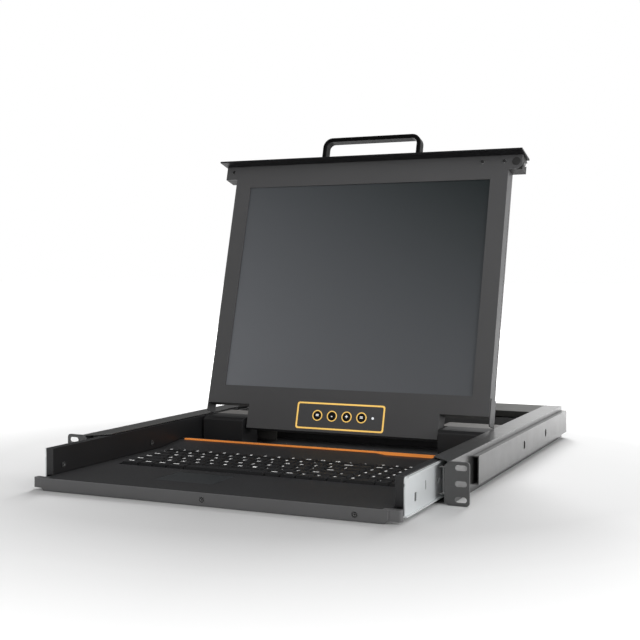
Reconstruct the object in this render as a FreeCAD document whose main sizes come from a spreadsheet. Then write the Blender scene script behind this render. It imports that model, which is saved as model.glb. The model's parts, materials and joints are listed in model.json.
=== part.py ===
import FreeCAD, Part

import os
import re

import Sketcher

# A rackmount LCD console drawer, one rack unit high, with the drawer part-way out and the screen up.
# The pieces are drawn with X to the right, Y to the back from the front plane of the rack ears and
# Z up from the underside.  Every piece is then shifted along Y so that the origin of the whole is
# the middle of its bounding box, on the underside.  The pieces of the screen are drawn upright in
# a frame of their own (X right, Y into the screen, Z up along it) and leaned back by the hinge.

# Driving dimensions, in millimetres and degrees.
SIZES = {
    # rack and chassis
    "rack_width": 482.6,
    "unit_height": 44.0,
    "chassis_width": 442.4,
    "chassis_depth": 530.4,
    "chassis_sheet": 1.2,
    "floor_start": 6.0,
    "flange_width": 24.6,
    "flange_cut": 21.0,
    "ear_thickness": 2.0,
    "ear_inner_x": 215.4,
    "ear_notch": 4.5,
    "ear_corner": 3.5,
    "slot_spacing": 465.1,
    "slot_pitch": 15.875,
    "slot_length": 12.2,
    "slot_width": 5.8,
    "channel_depth": 6.8,
    "channel_bottom": 7.5,
    "channel_height": 30.5,
    "channel_start": 80.0,
    "channel_slot_y": 280.0,
    "channel_slot_gap": 117.0,
    "channel_slot_width": 8.0,
    "channel_slot_length": 10.3,
    "rear_cover_start": 441.5,
    "rear_cover_lip": 8.0,
    "cover_tab": 14.0,
    # rear connectors and electronics
    "port_height": 22.0,
    "port_standout": 3.6,
    "socket_flange": 1.2,
    "vga_x": -120.0,
    "vga_width": 18.0,
    "vga_height": 9.0,
    "usb_x": -165.0,
    "usb_width": 14.4,
    "usb_height": 7.2,
    "usb_wall": 0.7,
    "inlet_x": 150.0,
    "inlet_width": 27.4,
    "inlet_height": 20.0,
    "inlet_depth": 15.0,
    "pin_length": 8.0,
    "socket_depth": 22.0,
    "supply_width": 130.0,
    "supply_height": 34.0,
    "supply_depth": 62.0,
    "board_width": 150.0,
    "board_depth": 60.0,
    "board_sheet": 1.6,
    "standoff": 5.0,
    "standoff_radius": 3.0,
    # drawer
    "drawer_out": 107.2,
    "drawer_inner_x": 195.3,
    "rail_width": 8.7,
    "drawer_sheet": 1.2,
    "drawer_top": 42.0,
    "drawer_bottom": 1.8,
    "rail_setback": 20.2,
    "drawer_length": 437.0,
    "drawer_back_height": 28.0,
    "lip_thickness": 2.0,
    "lip_bottom": 0.3,
    "lip_top": 13.4,
    "lip_half_width": 196.1,
    "lip_bevel": 3.6,
    "lip_tab_x": 207.4,
    "lip_tab_setback": 3.2,
    "lip_tab_depth": 7.6,
    "lip_tab_bottom": 2.5,
    "lip_tab_foot": 6.4,
    "lip_screw_x": 163.0,
    "lip_screw_z": 6.4,
    "screw_radius": 2.9,
    "screw_sink": 1.1,
    "wall_screw_z": 22.0,
    "wall_screw_front": 38.0,
    "wall_screw_gap": 176.0,
    # telescopic slides
    "slide_height": 37.4,
    "slide_bottom": 3.6,
    "slide_sheet": 1.2,
    "slide_lip": 6.2,
    "slide_toe": 3.0,
    "ball_track": 3.2,
    "slide_length": 415.0,
    "slide_gap": 0.8,
    "middle_lip": 4.0,
    "middle_start": 12.0,
    "middle_length": 375.0,
    "fixed_slide_start": 20.0,
    "fixed_slide_length": 430.0,
    # keyboard panel
    "panel_sheet": 2.0,
    "panel_rear": 188.0,
    "panel_ridge": 19.2,
    "ridge_start": 172.0,
    "ridge_end": 184.0,
    "slope_start": 125.0,
    "slope_end_height": 18.0,
    "keys_left": -172.0,
    "keys_front": 5.0,
    "key_pitch": 18.3,
    "pad_pitch": 16.4,
    "pad_gap": 2.4,
    "key_row_pitch": 18.1,
    "function_gap": 5.0,
    "function_depth": 12.4,
    "key_gap": 1.1,
    "key_taper": 1.5,
    "key_top": 16.0,
    "key_height": 4.6,
    "key_travel": 1.8,
    "stem_size": 5.0,
    "stem_clearance": 0.3,
    "plate_top": 9.4,
    "plate_sheet": 1.4,
    "circuit_sheet": 1.4,
    "well_margin": 2.4,
    "touchpad_x": -48.5,
    "touchpad_y": -38.0,
    "touchpad_width": 69.0,
    "touchpad_depth": 50.0,
    "touchpad_sink": 0.9,
    "touchpad_sheet": 0.7,
    "trim_depth": 4.0,
    "trim_thin": 1.6,
    "trim_thick": 3.1,
    "trim_left": -188.0,
    "trim_kink": 76.0,
    # hinge
    "hinge_y": 249.4,
    "hinge_z": 34.0,
    "block_inner_x": 134.0,
    "block_front": 228.0,
    "block_back": 271.0,
    "block_top": 41.4,
    "block_brow": 38.4,
    "cover_inner_x": 124.0,
    "cover_back": 311.0,
    "shaft_radius": 4.0,
    "shaft_clearance": 0.05,
    "shaft_reach": 24.0,
    "knuckle_radius": 6.2,
    "knuckle_width": 24.0,
    "arm_height": 62.0,
    # screen, in its own frame
    "lcd_tilt": 15.19,
    "hinge_depth": 13.5,
    "hinge_rise": 8.6,
    "lcd_half_width": 193.6,
    "lcd_depth": 23.0,
    "lcd_top": 365.5,
    "lcd_cutout_rise": 31.4,
    "lcd_centre_half": 131.4,
    "lcd_sheet": 1.2,
    "cheek_drop": 11.4,
    "cheek_corner": 3.0,
    "bezel_sheet": 2.0,
    "window_half": 171.1,
    "window_bottom": 55.5,
    "window_top": 334.0,
    "end_block_width": 17.4,
    "head_bottom": 346.6,
    "head_corner": 9.0,
    "block_depth": 21.5,
    "fascia_reach": 2.9,
    "fascia_overhang": 17.5,
    "fascia_sheet": 2.0,
    "handle_half_width": 70.3,
    "handle_height": 37.0,
    "handle_bar": 5.6,
    "handle_depth": 15.0,
    "handle_corner": 13.0,
    "handle_edge": 1.4,
    "handle_middle": 14.0,
    "bolt_depth": 11.0,
    "bolt_drop": 9.7,
    "bolt_radius": 3.0,
    "bolt_clearance": 0.1,
    "bolt_standout": 3.8,
    "bolt_length": 14.0,
    "bolt_travel": 4.0,
    "thumb_neck": 4.0,
    "thumb_length": 9.0,
    "thumb_depth": 12.0,
    "thumb_height": 2.6,
    "running_gap": 0.3,
    "glass_sheet": 1.1,
    "glass_margin": 2.4,
    "module_depth": 10.0,
    "module_margin": 8.0,
    "osd_half_width": 60.5,
    "osd_bottom": 3.5,
    "osd_top": 38.0,
    "osd_line": 2.0,
    "osd_corner": 3.2,
    "osd_raise": 0.3,
    "button_first_x": -31.2,
    "button_pitch": 20.3,
    "button_rise": 21.3,
    "button_radius": 5.3,
    "button_raise": 0.6,
    "button_travel": 1.0,
    "ring_radius": 6.9,
    "ring_line": 1.2,
    "led_x": 45.0,
    "led_radius": 1.5,
    "disc_inset": 7.8,
    "disc_drop": 8.8,
    "disc_radius": 5.3,
    "disc_raise": 0.8,
    "head_screw_outer": 6.1,
    "head_screw_inner": 34.6,
    "head_screw_drop": 8.0,
    "head_screw_radius": 2.6,
    "vent_depth": 17.4,
    "vent_start": 66.0,
    "vent_pitch": 5.1,
    "vent_width": 1.8,
    "vent_height": 2.6,
}

doc = FreeCAD.newDocument("console_drawer")
sheet = doc.addObject("Spreadsheet::Sheet", "Sizes")
for row, (name, number) in enumerate(SIZES.items(), 1):
    sheet.set(f"A{row}", name)
    sheet.set(f"B{row}", str(number))
    sheet.setAlias(f"B{row}", name)
doc.recompute()

SIDES = {"left": -1, "right": 1}
PARTS = []


# ---------------------------------------------------------------- sizes and expressions

def bind(text):
    """The same expression, with each size written as a cell of the sheet."""
    return re.sub(r"[a-z]\w*", lambda word: "Sizes." + word[0] if word[0] in SIZES else word[0], str(text))


def value(text):
    """The number that an expression of sizes gives."""
    return float(sheet.evalExpression(bind(text)))


def tie(thing, **expressions):
    """Bind properties of a feature to expressions of sizes."""
    for prop, text in expressions.items():
        thing.setExpression(prop.replace("__", "."), bind(text))


# Places that several pieces share, as expressions of sizes.
SHIFT_Y = "(drawer_out - chassis_depth - port_standout) / 2"
WALL_OUT = "chassis_width / 2"
WALL_IN = "(chassis_width / 2 - chassis_sheet)"
FLANGE_IN = "(chassis_width / 2 - flange_width)"
LID_UNDER = "(unit_height - chassis_sheet)"
PANEL_BACK = "(chassis_depth - chassis_sheet)"
DRAWER_FRONT = "(-drawer_out)"
RAIL_FRONT = "(rail_setback - drawer_out)"
DRAWER_BACK = "(drawer_length - drawer_out)"
DRAWER_FLOOR = "(drawer_bottom + drawer_sheet)"
RAIL_OUT = "(drawer_inner_x + rail_width)"
SLIDE_TOP = "(slide_bottom + slide_height)"
PANEL_HALF = "(drawer_inner_x - running_gap)"
TAB_BACK = "(lip_tab_setback + lip_tab_depth - drawer_out)"
PANEL_FRONT = "(lip_thickness + drawer_sheet - drawer_out)"
TRIM_BACK = "(ridge_start + trim_depth)"
KEYS_RIGHT = "(keys_left + 15 * key_pitch + pad_gap + 4 * pad_pitch)"
FUNCTION_FRONT = "(keys_front + 5 * key_row_pitch + function_gap)"
KEYS_BACK = "(keys_front + 5 * key_row_pitch + function_gap + function_depth)"
KEY_BOTTOM = "(key_top - key_height)"
STEM_BOTTOM = "(drawer_bottom + drawer_sheet + running_gap + circuit_sheet + running_gap + key_travel)"
SCREEN_BACK = "(lcd_depth - lcd_sheet)"
HEAD_HALF = "(lcd_half_width + end_block_width)"
FASCIA_HALF = "(lcd_half_width + end_block_width + fascia_reach)"
BOLT_TIP = "(lcd_half_width + end_block_width + bolt_standout)"
BOLT_RISE = "(lcd_top - bolt_drop)"
FASCIA_TOP = "(lcd_top + fascia_sheet)"


def on_side(side, text):
    """An X place mirrored to the left or right side."""
    return f"{side} * ({text})"


# ---------------------------------------------------------------- documents, sketches and features

def finish(thing, name):
    """Give a finished piece its label and its place in the rack's frame."""
    thing.Label = name
    tie(thing, **{".Placement__Base__y": SHIFT_Y})
    PARTS.append(thing)
    return thing


def finish_on_screen(thing, name):
    """Give a piece of the screen its label and lean it back about the hinge axis."""
    thing.Label = name
    thing.Placement = FreeCAD.Placement(FreeCAD.Vector(), FreeCAD.Rotation(FreeCAD.Vector(1, 0, 0), -1))
    back = "hinge_depth * cos(lcd_tilt) + hinge_rise * sin(lcd_tilt)"
    down = "hinge_rise * cos(lcd_tilt) - hinge_depth * sin(lcd_tilt)"
    tie(thing, **{
        ".Placement__Rotation__Angle": "-lcd_tilt",
        ".Placement__Base__y": f"{SHIFT_Y} + hinge_y - ({back})",
        ".Placement__Base__z": f"hinge_z - ({down})",
    })
    PARTS.append(thing)
    return thing


def new_body(name):
    """An empty body for a piece."""
    return doc.addObject("PartDesign::Body", name + "_body")


def rect(x_low, y_low, x_high, y_high):
    """The four corners of a rectangle."""
    return [(x_low, y_low), (x_high, y_low), (x_high, y_high), (x_low, y_high)]


def pin_point(sketch, geometry, point, x, y):
    """Tie a point of a sketch to its place from the sketch's origin."""
    for kind, text in (("DistanceX", x), ("DistanceY", y)):
        index = sketch.addConstraint(Sketcher.Constraint(kind, -1, 1, geometry, point, value(text)))
        sketch.setExpression(f"Constraints[{index}]", bind(text))


def draw_outline(sketch, points):
    """A closed outline; a corner with a third entry is rounded to that radius."""
    corners = [FreeCAD.Vector(value(point[0]), value(point[1]), 0) for point in points]
    first = sketch.GeometryCount
    last = first + len(points) - 1
    for start, end in zip(corners, corners[1:] + corners[:1]):
        sketch.addGeometry(Part.LineSegment(start, end))
    for line in range(first, last + 1):
        before = last if line == first else line - 1
        sketch.addConstraint(Sketcher.Constraint("Coincident", before, 2, line, 1))
    for line, point in enumerate(points, first):
        pin_point(sketch, line, 1, point[0], point[1])
    for line, point in enumerate(points, first):
        if len(point) == 3:
            round_corner(sketch, line, point[2])


def round_corner(sketch, line, radius):
    """Round the corner at the start of a line, with its radius on the sheet."""
    sketch.fillet(line, 1, value(radius), True, True)
    arcs = [i for i, shape in enumerate(sketch.Geometry) if isinstance(shape, Part.ArcOfCircle)]
    index = sketch.addConstraint(Sketcher.Constraint("Radius", arcs[-1], value(radius)))
    sketch.setExpression(f"Constraints[{index}]", bind(radius))


def draw_circle(sketch, x, y, radius):
    """A circle with its centre and radius on the sheet."""
    centre = FreeCAD.Vector(value(x), value(y), 0)
    circle = sketch.addGeometry(Part.Circle(centre, FreeCAD.Vector(0, 0, 1), value(radius)))
    pin_point(sketch, circle, 3, x, y)
    index = sketch.addConstraint(Sketcher.Constraint("Radius", circle, value(radius)))
    sketch.setExpression(f"Constraints[{index}]", bind(radius))


def new_sketch(body, plane, place):
    """A sketch parallel to one of the body's own planes, at a place along its normal."""
    sketch = body.newObject("Sketcher::SketchObject", "Sketch")
    origin_plane = next(f for f in body.Origin.OriginFeatures if f.Role == plane + "_Plane")
    sketch.AttachmentSupport = [(origin_plane, "")]
    sketch.MapMode = "FlatFace"
    sign = "-" if plane == "XZ" else ""
    tie(sketch, AttachmentOffset__Base__z=f"{sign}({place})")
    return sketch


def draw_shapes(sketch, outlines, circles):
    for points in outlines:
        draw_outline(sketch, points)
    for x, y, radius in circles:
        draw_circle(sketch, x, y, radius)


def in_order(low, high):
    """The two places along an axis, the lower first."""
    return (low, high) if value(low) < value(high) else (high, low)


def extrude(body, plane, low, high, outlines=(), circles=()):
    """Pad outlines drawn on a plane from one place to another along its axis."""
    low, high = in_order(low, high)
    sketch = new_sketch(body, plane, high if plane == "XZ" else low)
    draw_shapes(sketch, outlines, circles)
    pad = body.newObject("PartDesign::Pad", "Pad")
    pad.Profile = sketch
    tie(pad, Length=f"({high}) - ({low})")
    return pad


def cut(body, plane, low, high, outlines=(), circles=()):
    """Pocket outlines drawn on a plane from one place to another along its axis."""
    low, high = in_order(low, high)
    doc.recompute()
    before = body.Shape.Volume
    sketch = new_sketch(body, plane, low if plane == "XZ" else high)
    draw_shapes(sketch, outlines, circles)
    pocket = body.newObject("PartDesign::Pocket", "Pocket")
    pocket.Profile = sketch
    tie(pocket, Length=f"({high}) - ({low})")
    doc.recompute()
    if body.Shape.Volume >= before:
        raise RuntimeError("a pocket of " + body.Name + " cuts nothing")
    return pocket


def mirror(body, features):
    """Repeat features on the other side of the body's middle plane."""
    pattern = body.newObject("PartDesign::Mirrored", "Mirrored")
    pattern.Originals = features
    middle = next(f for f in body.Origin.OriginFeatures if f.Role == "YZ_Plane")
    pattern.MirrorPlane = (middle, [""])
    body.Tip = pattern
    return pattern


def repeat(body, feature, axis, length, count):
    """Repeat a feature in a row along one of the body's own axes."""
    pattern = body.newObject("PartDesign::LinearPattern", "Row")
    pattern.Originals = [feature]
    line = next(f for f in body.Origin.OriginFeatures if f.Role == axis + "_Axis")
    pattern.Direction = (line, [""])
    pattern.Occurrences = count
    tie(pattern, Length=length)
    body.Tip = pattern
    return pattern


def bevel_edges(body, size, chosen):
    """Chamfer the edges of the body so far that the test picks."""
    doc.recompute()
    base = body.Tip
    names = [f"Edge{i}" for i, edge in enumerate(base.Shape.Edges, 1) if chosen(edge)]
    chamfer = body.newObject("PartDesign::Chamfer", "Chamfer")
    chamfer.Base = (base, names)
    tie(chamfer, Size=size)
    return chamfer


def bevelled(x, y, width, depth, bevel):
    """The outline of a rectangle about a centre, with its corners cut off."""
    left, right = f"{x} - {width} / 2", f"{x} + {width} / 2"
    front, back = f"{y} - {depth} / 2", f"{y} + {depth} / 2"
    return [(f"{left} + {bevel}", front), (f"{right} - {bevel}", front), (right, f"{front} + {bevel}"),
            (right, f"{back} - {bevel}"), (f"{right} - {bevel}", back), (f"{left} + {bevel}", back),
            (left, f"{back} - {bevel}"), (left, f"{front} + {bevel}")]


def slot(x, y, length, width, upright=False):
    """The outline of a slot with round ends."""
    along, across = (width, length) if upright else (length, width)
    radius = f"({width}) / 2 - 0.01"
    corners = rect(f"{x} - ({along}) / 2", f"{y} - ({across}) / 2", f"{x} + ({along}) / 2", f"{y} + ({across}) / 2")
    return [(corner_x, corner_y, radius) for corner_x, corner_y in corners]


def block(name, x_low, y_low, z_low, x_size, y_size, z_size):
    """A box whose place and size are on the sheet."""
    box = doc.addObject("Part::Box", name)
    tie(box, Length=x_size, Width=y_size, Height=z_size,
        **{".Placement__Base__x": x_low, ".Placement__Base__y": y_low, ".Placement__Base__z": z_low})
    return box


def group(name, pieces):
    """Separate solids that make one node."""
    compound = doc.addObject("Part::Compound", name + "_group")
    compound.Links = pieces
    return compound


# ---------------------------------------------------------------- chassis

def make_chassis_tray():
    body = new_body("chassis_tray")
    half = WALL_OUT
    extrude(body, "XY", "0", "chassis_sheet", [rect(f"-{half}", "floor_start", half, "chassis_depth")])
    wall = extrude(body, "XY", "0", "unit_height", [rect(WALL_IN, "ear_thickness", half, "chassis_depth")])
    flange = extrude(body, "XY", LID_UNDER, "unit_height", [[
        (WALL_IN, "ear_thickness"),
        (FLANGE_IN, "ear_thickness + flange_cut"),
        (FLANGE_IN, "chassis_depth"),
        (half, "chassis_depth"),
        (half, "ear_thickness"),
    ]])
    mirror(body, [wall, flange])
    finish(body, "chassis_tray")


def make_ear(name, side):
    """A flat ear with three slots; its inner top corner is cut off."""
    body = new_body(name)
    inner = on_side(side, "ear_inner_x")
    outer = on_side(side, "rack_width / 2")
    extrude(body, "XZ", "0", "ear_thickness", [[
        (inner, "ear_notch / 2"),
        (on_side(side, "ear_inner_x + ear_notch"), "0"),
        (outer, "0", "ear_corner"),
        (outer, "unit_height", "ear_corner"),
        (on_side(side, "ear_inner_x + ear_notch"), "unit_height"),
        (inner, "unit_height - ear_notch"),
    ]])
    heights = ["unit_height / 2 - slot_pitch", "unit_height / 2", "unit_height / 2 + slot_pitch"]
    middle = on_side(side, "slot_spacing / 2")
    cut(body, "XZ", "0", "ear_thickness", [slot(middle, z, "slot_length", "slot_width") for z in heights])
    finish(body, name)


def make_channel(name, side):
    """A hollow channel along the wall, open at both ends, that guides a rear bracket."""
    body = new_body(name)
    wall = on_side(side, WALL_OUT)
    web_in = on_side(side, f"{WALL_OUT} + channel_depth - chassis_sheet")
    web_out = on_side(side, f"{WALL_OUT} + channel_depth")
    top = "channel_bottom + channel_height"
    extrude(body, "XZ", "channel_start", "chassis_depth", [[
        (wall, "channel_bottom"), (web_out, "channel_bottom"), (web_out, top), (wall, top),
        (wall, f"{top} - chassis_sheet"), (web_in, f"{top} - chassis_sheet"),
        (web_in, "channel_bottom + chassis_sheet"), (wall, "channel_bottom + chassis_sheet"),
    ]])
    middle = "channel_bottom + channel_height / 2"
    places = ["channel_slot_y", "channel_slot_y + channel_slot_gap"]
    cut(body, "YZ", web_in, web_out,
        [slot(y, middle, "channel_slot_length", "channel_slot_width", upright=True) for y in places])
    finish(body, name)


def make_rear_cover():
    """The lid over the rear bay, level with the flanges, with a folded lip and tabs under them."""
    body = new_body("rear_cover")
    half = f"{FLANGE_IN} - running_gap"
    back = f"{PANEL_BACK} - running_gap"
    extrude(body, "XY", LID_UNDER, "unit_height", [rect(f"-({half})", "rear_cover_start", half, back)])
    extrude(body, "XY", "unit_height - rear_cover_lip", "unit_height",
            [rect(f"-({half})", "rear_cover_start", half, "rear_cover_start + chassis_sheet")])
    tab = extrude(body, "XY", f"{LID_UNDER} - chassis_sheet", LID_UNDER,
                  [rect(f"{half} - cover_tab", "rear_cover_start + cover_tab", f"{half} + cover_tab",
                        f"{back} - cover_tab")])
    mirror(body, [tab])
    finish(body, "rear_cover")


def make_rear_panel():
    body = new_body("rear_panel")
    extrude(body, "XZ", PANEL_BACK, "chassis_depth",
            [rect(f"-{WALL_IN}", "chassis_sheet", WALL_IN, LID_UNDER)])
    openings = (("vga_x", "vga_width", "vga_height"), ("usb_x", "usb_width", "usb_height"),
                ("inlet_x", "inlet_width", "inlet_height"))
    cut(body, "XZ", PANEL_BACK, "chassis_depth", [
        rect(f"{x} - {width} / 2 - running_gap", f"port_height - {height} / 2 - running_gap",
             f"{x} + {width} / 2 + running_gap", f"port_height + {height} / 2 + running_gap")
        for x, width, height in openings])
    finish(body, "rear_panel")


def make_vga_port():
    """A video socket: a D-shaped shell on a flange with two jack screws, and its body inside."""
    body = new_body("vga_port")
    extrude(body, "XZ", "chassis_depth - socket_depth / 2", "chassis_depth + socket_flange",
            [rect("vga_x - vga_width / 2", "port_height - vga_height / 2",
                  "vga_x + vga_width / 2", "port_height + vga_height / 2")])
    extrude(body, "XZ", "chassis_depth", "chassis_depth + socket_flange",
            [rect("vga_x - 0.85 * vga_width", "port_height - 0.7 * vga_height",
                  "vga_x + 0.85 * vga_width", "port_height + 0.7 * vga_height")])
    extrude(body, "XZ", "chassis_depth", "chassis_depth + port_standout", [[
        ("vga_x - 0.42 * vga_width", "port_height - vga_height / 2", "socket_flange"),
        ("vga_x + 0.42 * vga_width", "port_height - vga_height / 2", "socket_flange"),
        ("vga_x + 0.48 * vga_width", "port_height + vga_height / 2", "socket_flange"),
        ("vga_x - 0.48 * vga_width", "port_height + vga_height / 2", "socket_flange"),
    ]])
    extrude(body, "XZ", "chassis_depth", "chassis_depth + port_standout", circles=[
        ("vga_x - 0.68 * vga_width", "port_height", "vga_height / 4"),
        ("vga_x + 0.68 * vga_width", "port_height", "vga_height / 4")])
    finish(body, "vga_port")


def make_usb_port():
    """A flat socket with its contact tongue."""
    body = new_body("usb_port")
    back = "chassis_depth + socket_flange"
    extrude(body, "XZ", f"{back} - socket_depth", back,
            [rect("usb_x - usb_width / 2", "port_height - usb_height / 2",
                  "usb_x + usb_width / 2", "port_height + usb_height / 2")])
    cut(body, "XZ", f"{back} - socket_depth / 2", back, [
        rect("usb_x - usb_width / 2 + usb_wall", "port_height - usb_height / 2 + usb_wall",
             "usb_x + usb_width / 2 - usb_wall", "port_height + usb_height / 2 - usb_wall")])
    extrude(body, "XZ", f"{back} - socket_depth / 2", f"{back} - usb_wall",
            [rect("usb_x - usb_width / 3", "port_height - usb_wall", "usb_x + usb_width / 3", "port_height + usb_wall")])
    finish(body, "usb_port")


def make_power_inlet():
    """A three-pin appliance inlet with a chamfered recess."""
    body = new_body("power_inlet")
    back = "chassis_depth + socket_flange"
    half_width = "inlet_width / 2"
    half_height = "inlet_height / 2"
    wall = "socket_flange"
    extrude(body, "XZ", f"{back} - socket_depth", back,
            [rect(f"inlet_x - {half_width}", f"port_height - {half_height}",
                  f"inlet_x + {half_width}", f"port_height + {half_height}")])
    extrude(body, "XZ", "chassis_depth", back,
            [rect(f"inlet_x - {half_width} - 2 * {wall}", f"port_height - {half_height} - 2 * {wall}",
                  f"inlet_x + {half_width} + 2 * {wall}", f"port_height + {half_height} + 2 * {wall}")])
    cut(body, "XZ", f"{back} - inlet_depth", back, [[
        (f"inlet_x - {half_width} + {wall}", f"port_height - {half_height} + {wall}"),
        (f"inlet_x + {half_width} - {wall}", f"port_height - {half_height} + {wall}"),
        (f"inlet_x + {half_width} - {wall}", "port_height + inlet_height / 4"),
        (f"inlet_x + {half_width} - inlet_height / 4", f"port_height + {half_height} - {wall}"),
        (f"inlet_x - {half_width} + inlet_height / 4", f"port_height + {half_height} - {wall}"),
        (f"inlet_x - {half_width} + {wall}", "port_height + inlet_height / 4"),
    ]])
    pins = (("-inlet_width / 4", "-usb_wall"), ("0", "inlet_height / 8"), ("inlet_width / 4", "-usb_wall"))
    extrude(body, "XZ", f"{back} - inlet_depth", f"{back} - inlet_depth + pin_length", [
        rect(f"inlet_x + ({x}) - usb_wall", f"port_height + ({z}) - 2 * usb_wall",
             f"inlet_x + ({x}) + usb_wall", f"port_height + ({z}) + 2 * usb_wall") for x, z in pins])
    finish(body, "power_inlet")


def make_power_supply():
    """The closed box of the power supply, in front of the inlet."""
    body = new_body("power_supply")
    back = f"{PANEL_BACK} - socket_depth"
    half = "supply_width / 2"
    middle = "inlet_x - supply_width / 4"
    extrude(body, "XY", "chassis_sheet", "chassis_sheet + supply_height",
            [rect(f"{middle} - {half}", f"{back} - supply_depth", f"{middle} + {half}", back)])
    cut(body, "YZ", f"{middle} - {half} + chassis_sheet", f"{middle} + {half} - chassis_sheet", [
        rect(f"{back} - supply_depth", "supply_height", f"{back} - supply_depth / 2", "chassis_sheet + supply_height")])
    finish(body, "power_supply")


def make_interface_board():
    """The circuit board behind the video and keyboard sockets, on four pillars."""
    body = new_body("interface_board")
    middle = "(vga_x + usb_x) / 2 + board_width / 6"
    back = f"{PANEL_BACK} - socket_depth"
    half = "board_width / 2"
    seat = "chassis_sheet + standoff"
    extrude(body, "XY", seat, f"{seat} + board_sheet",
            [rect(f"{middle} - {half}", f"{back} - board_depth", f"{middle} + {half}", back)])
    foot = "2 * standoff_radius"
    extrude(body, "XY", "chassis_sheet", seat, [
        rect(f"{x} - {foot} / 2", f"{y} - {foot}", f"{x} + {foot} / 2", y)
        for x in (f"{middle} - {half} + {foot}", f"{middle} + {half} - {foot}")
        for y in (back, f"{back} - board_depth + {foot}")])
    extrude(body, "XY", f"{seat} + board_sheet", f"{seat} + board_sheet + standoff", [
        rect(f"{middle} - board_width / 8", f"{back} - 0.75 * board_depth",
             f"{middle} + board_width / 8", f"{back} - 0.25 * board_depth"),
        rect(f"{middle} - 0.4 * board_width", f"{back} - board_sheet - standoff",
             f"{middle} - 0.2 * board_width", f"{back} - board_sheet"),
    ])
    finish(body, "interface_board")


# ---------------------------------------------------------------- telescopic slides

def make_fixed_slide(name, side):
    """The chassis member: a C whose lips point inwards, with screw holes in its web."""
    body = new_body(name)
    back = on_side(side, WALL_IN)
    web = on_side(side, f"{WALL_IN} - slide_sheet")
    edge = on_side(side, f"{WALL_IN} - slide_sheet - slide_lip")
    extrude(body, "XZ", "fixed_slide_start", "fixed_slide_start + fixed_slide_length", [[
        (back, "slide_bottom"), (back, SLIDE_TOP), (edge, SLIDE_TOP), (edge, f"{SLIDE_TOP} - slide_sheet"),
        (web, f"{SLIDE_TOP} - slide_sheet"), (web, "slide_bottom + slide_sheet"),
        (edge, "slide_bottom + slide_sheet"), (edge, "slide_bottom"),
    ]])
    middle = "slide_bottom + slide_height / 2"
    places = [f"fixed_slide_start + {share} * fixed_slide_length" for share in (0.08, 0.5, 0.92)]
    cut(body, "YZ", web, back, circles=[(y, middle, "screw_radius") for y in places])
    finish(body, name)


def make_middle_slide(name, side):
    """The intermediate member: a web with two lips on each side, narrow enough to pass the ear."""
    body = new_body(name)
    lip_out = on_side(side, "ear_inner_x - running_gap")
    web_out = on_side(side, "ear_inner_x - running_gap - middle_lip")
    web_in = on_side(side, "ear_inner_x - running_gap - middle_lip - slide_sheet")
    lip_in = on_side(side, f"{RAIL_OUT} + slide_sheet + slide_gap")
    low = "slide_bottom + slide_sheet + ball_track"
    high = f"{SLIDE_TOP} - slide_sheet - ball_track"
    extrude(body, "XZ", "middle_start", "middle_start + middle_length", [[
        (lip_in, low), (lip_out, low), (lip_out, f"{low} + slide_sheet"), (web_out, f"{low} + slide_sheet"),
        (web_out, f"{high} - slide_sheet"), (lip_out, f"{high} - slide_sheet"), (lip_out, high),
        (lip_in, high), (lip_in, f"{high} - slide_sheet"), (web_in, f"{high} - slide_sheet"),
        (web_in, f"{low} + slide_sheet"), (lip_in, f"{low} + slide_sheet"),
    ]])
    finish(body, name)


def make_drawer_slide(name, side):
    """The drawer member: a C on the rail, lips outwards, with its access slots and rounded toe."""
    body = new_body(name)
    seat = on_side(side, RAIL_OUT)
    web = on_side(side, f"{RAIL_OUT} + slide_sheet")
    edge = on_side(side, f"{RAIL_OUT} + slide_sheet + slide_toe")
    front = RAIL_FRONT
    back = f"{RAIL_FRONT} + slide_length"
    middle = "slide_bottom + slide_height / 2"
    extrude(body, "YZ", seat, web, [[
        (front, "slide_bottom + slide_sheet"), (f"{front} - slide_toe", "slide_bottom + slide_sheet"),
        (f"{front} - slide_toe", "slide_bottom", "slide_sheet / 2"), (back, "slide_bottom"), (back, SLIDE_TOP),
        (front, SLIDE_TOP, "slide_toe"),
        (front, f"{SLIDE_TOP} - 2 * slide_toe"), (f"{front} + slide_sheet", f"{SLIDE_TOP} - 2 * slide_toe"),
        (f"{front} + slide_sheet", f"{SLIDE_TOP} - 3 * slide_toe"), (front, f"{SLIDE_TOP} - 3 * slide_toe"),
    ]])
    extrude(body, "YZ", web, edge, [
        rect(f"{front} - slide_toe + slide_sheet", "slide_bottom", back, "slide_bottom + slide_sheet"),
        rect(f"{front} + slide_toe", f"{SLIDE_TOP} - slide_sheet", back, SLIDE_TOP),
    ])
    cut(body, "YZ", seat, web, [
        rect(f"{front} + 9 * slide_toe", f"{middle} - 3 * slide_toe", f"{front} + 11 * slide_toe", f"{middle} - slide_lip / 20"),
        slot(f"{front} + 20 * slide_toe", f"{middle} + slide_toe / 2", "3.2 * slide_toe", "slide_toe", upright=True),
    ])
    spots = [f"{front} + {share} * slide_length" for share in (0.24, 0.5, 0.76)]
    cut(body, "YZ", seat, web, circles=[(y, middle, "screw_radius") for y in spots])
    finish(body, name)


# ---------------------------------------------------------------- drawer

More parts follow.
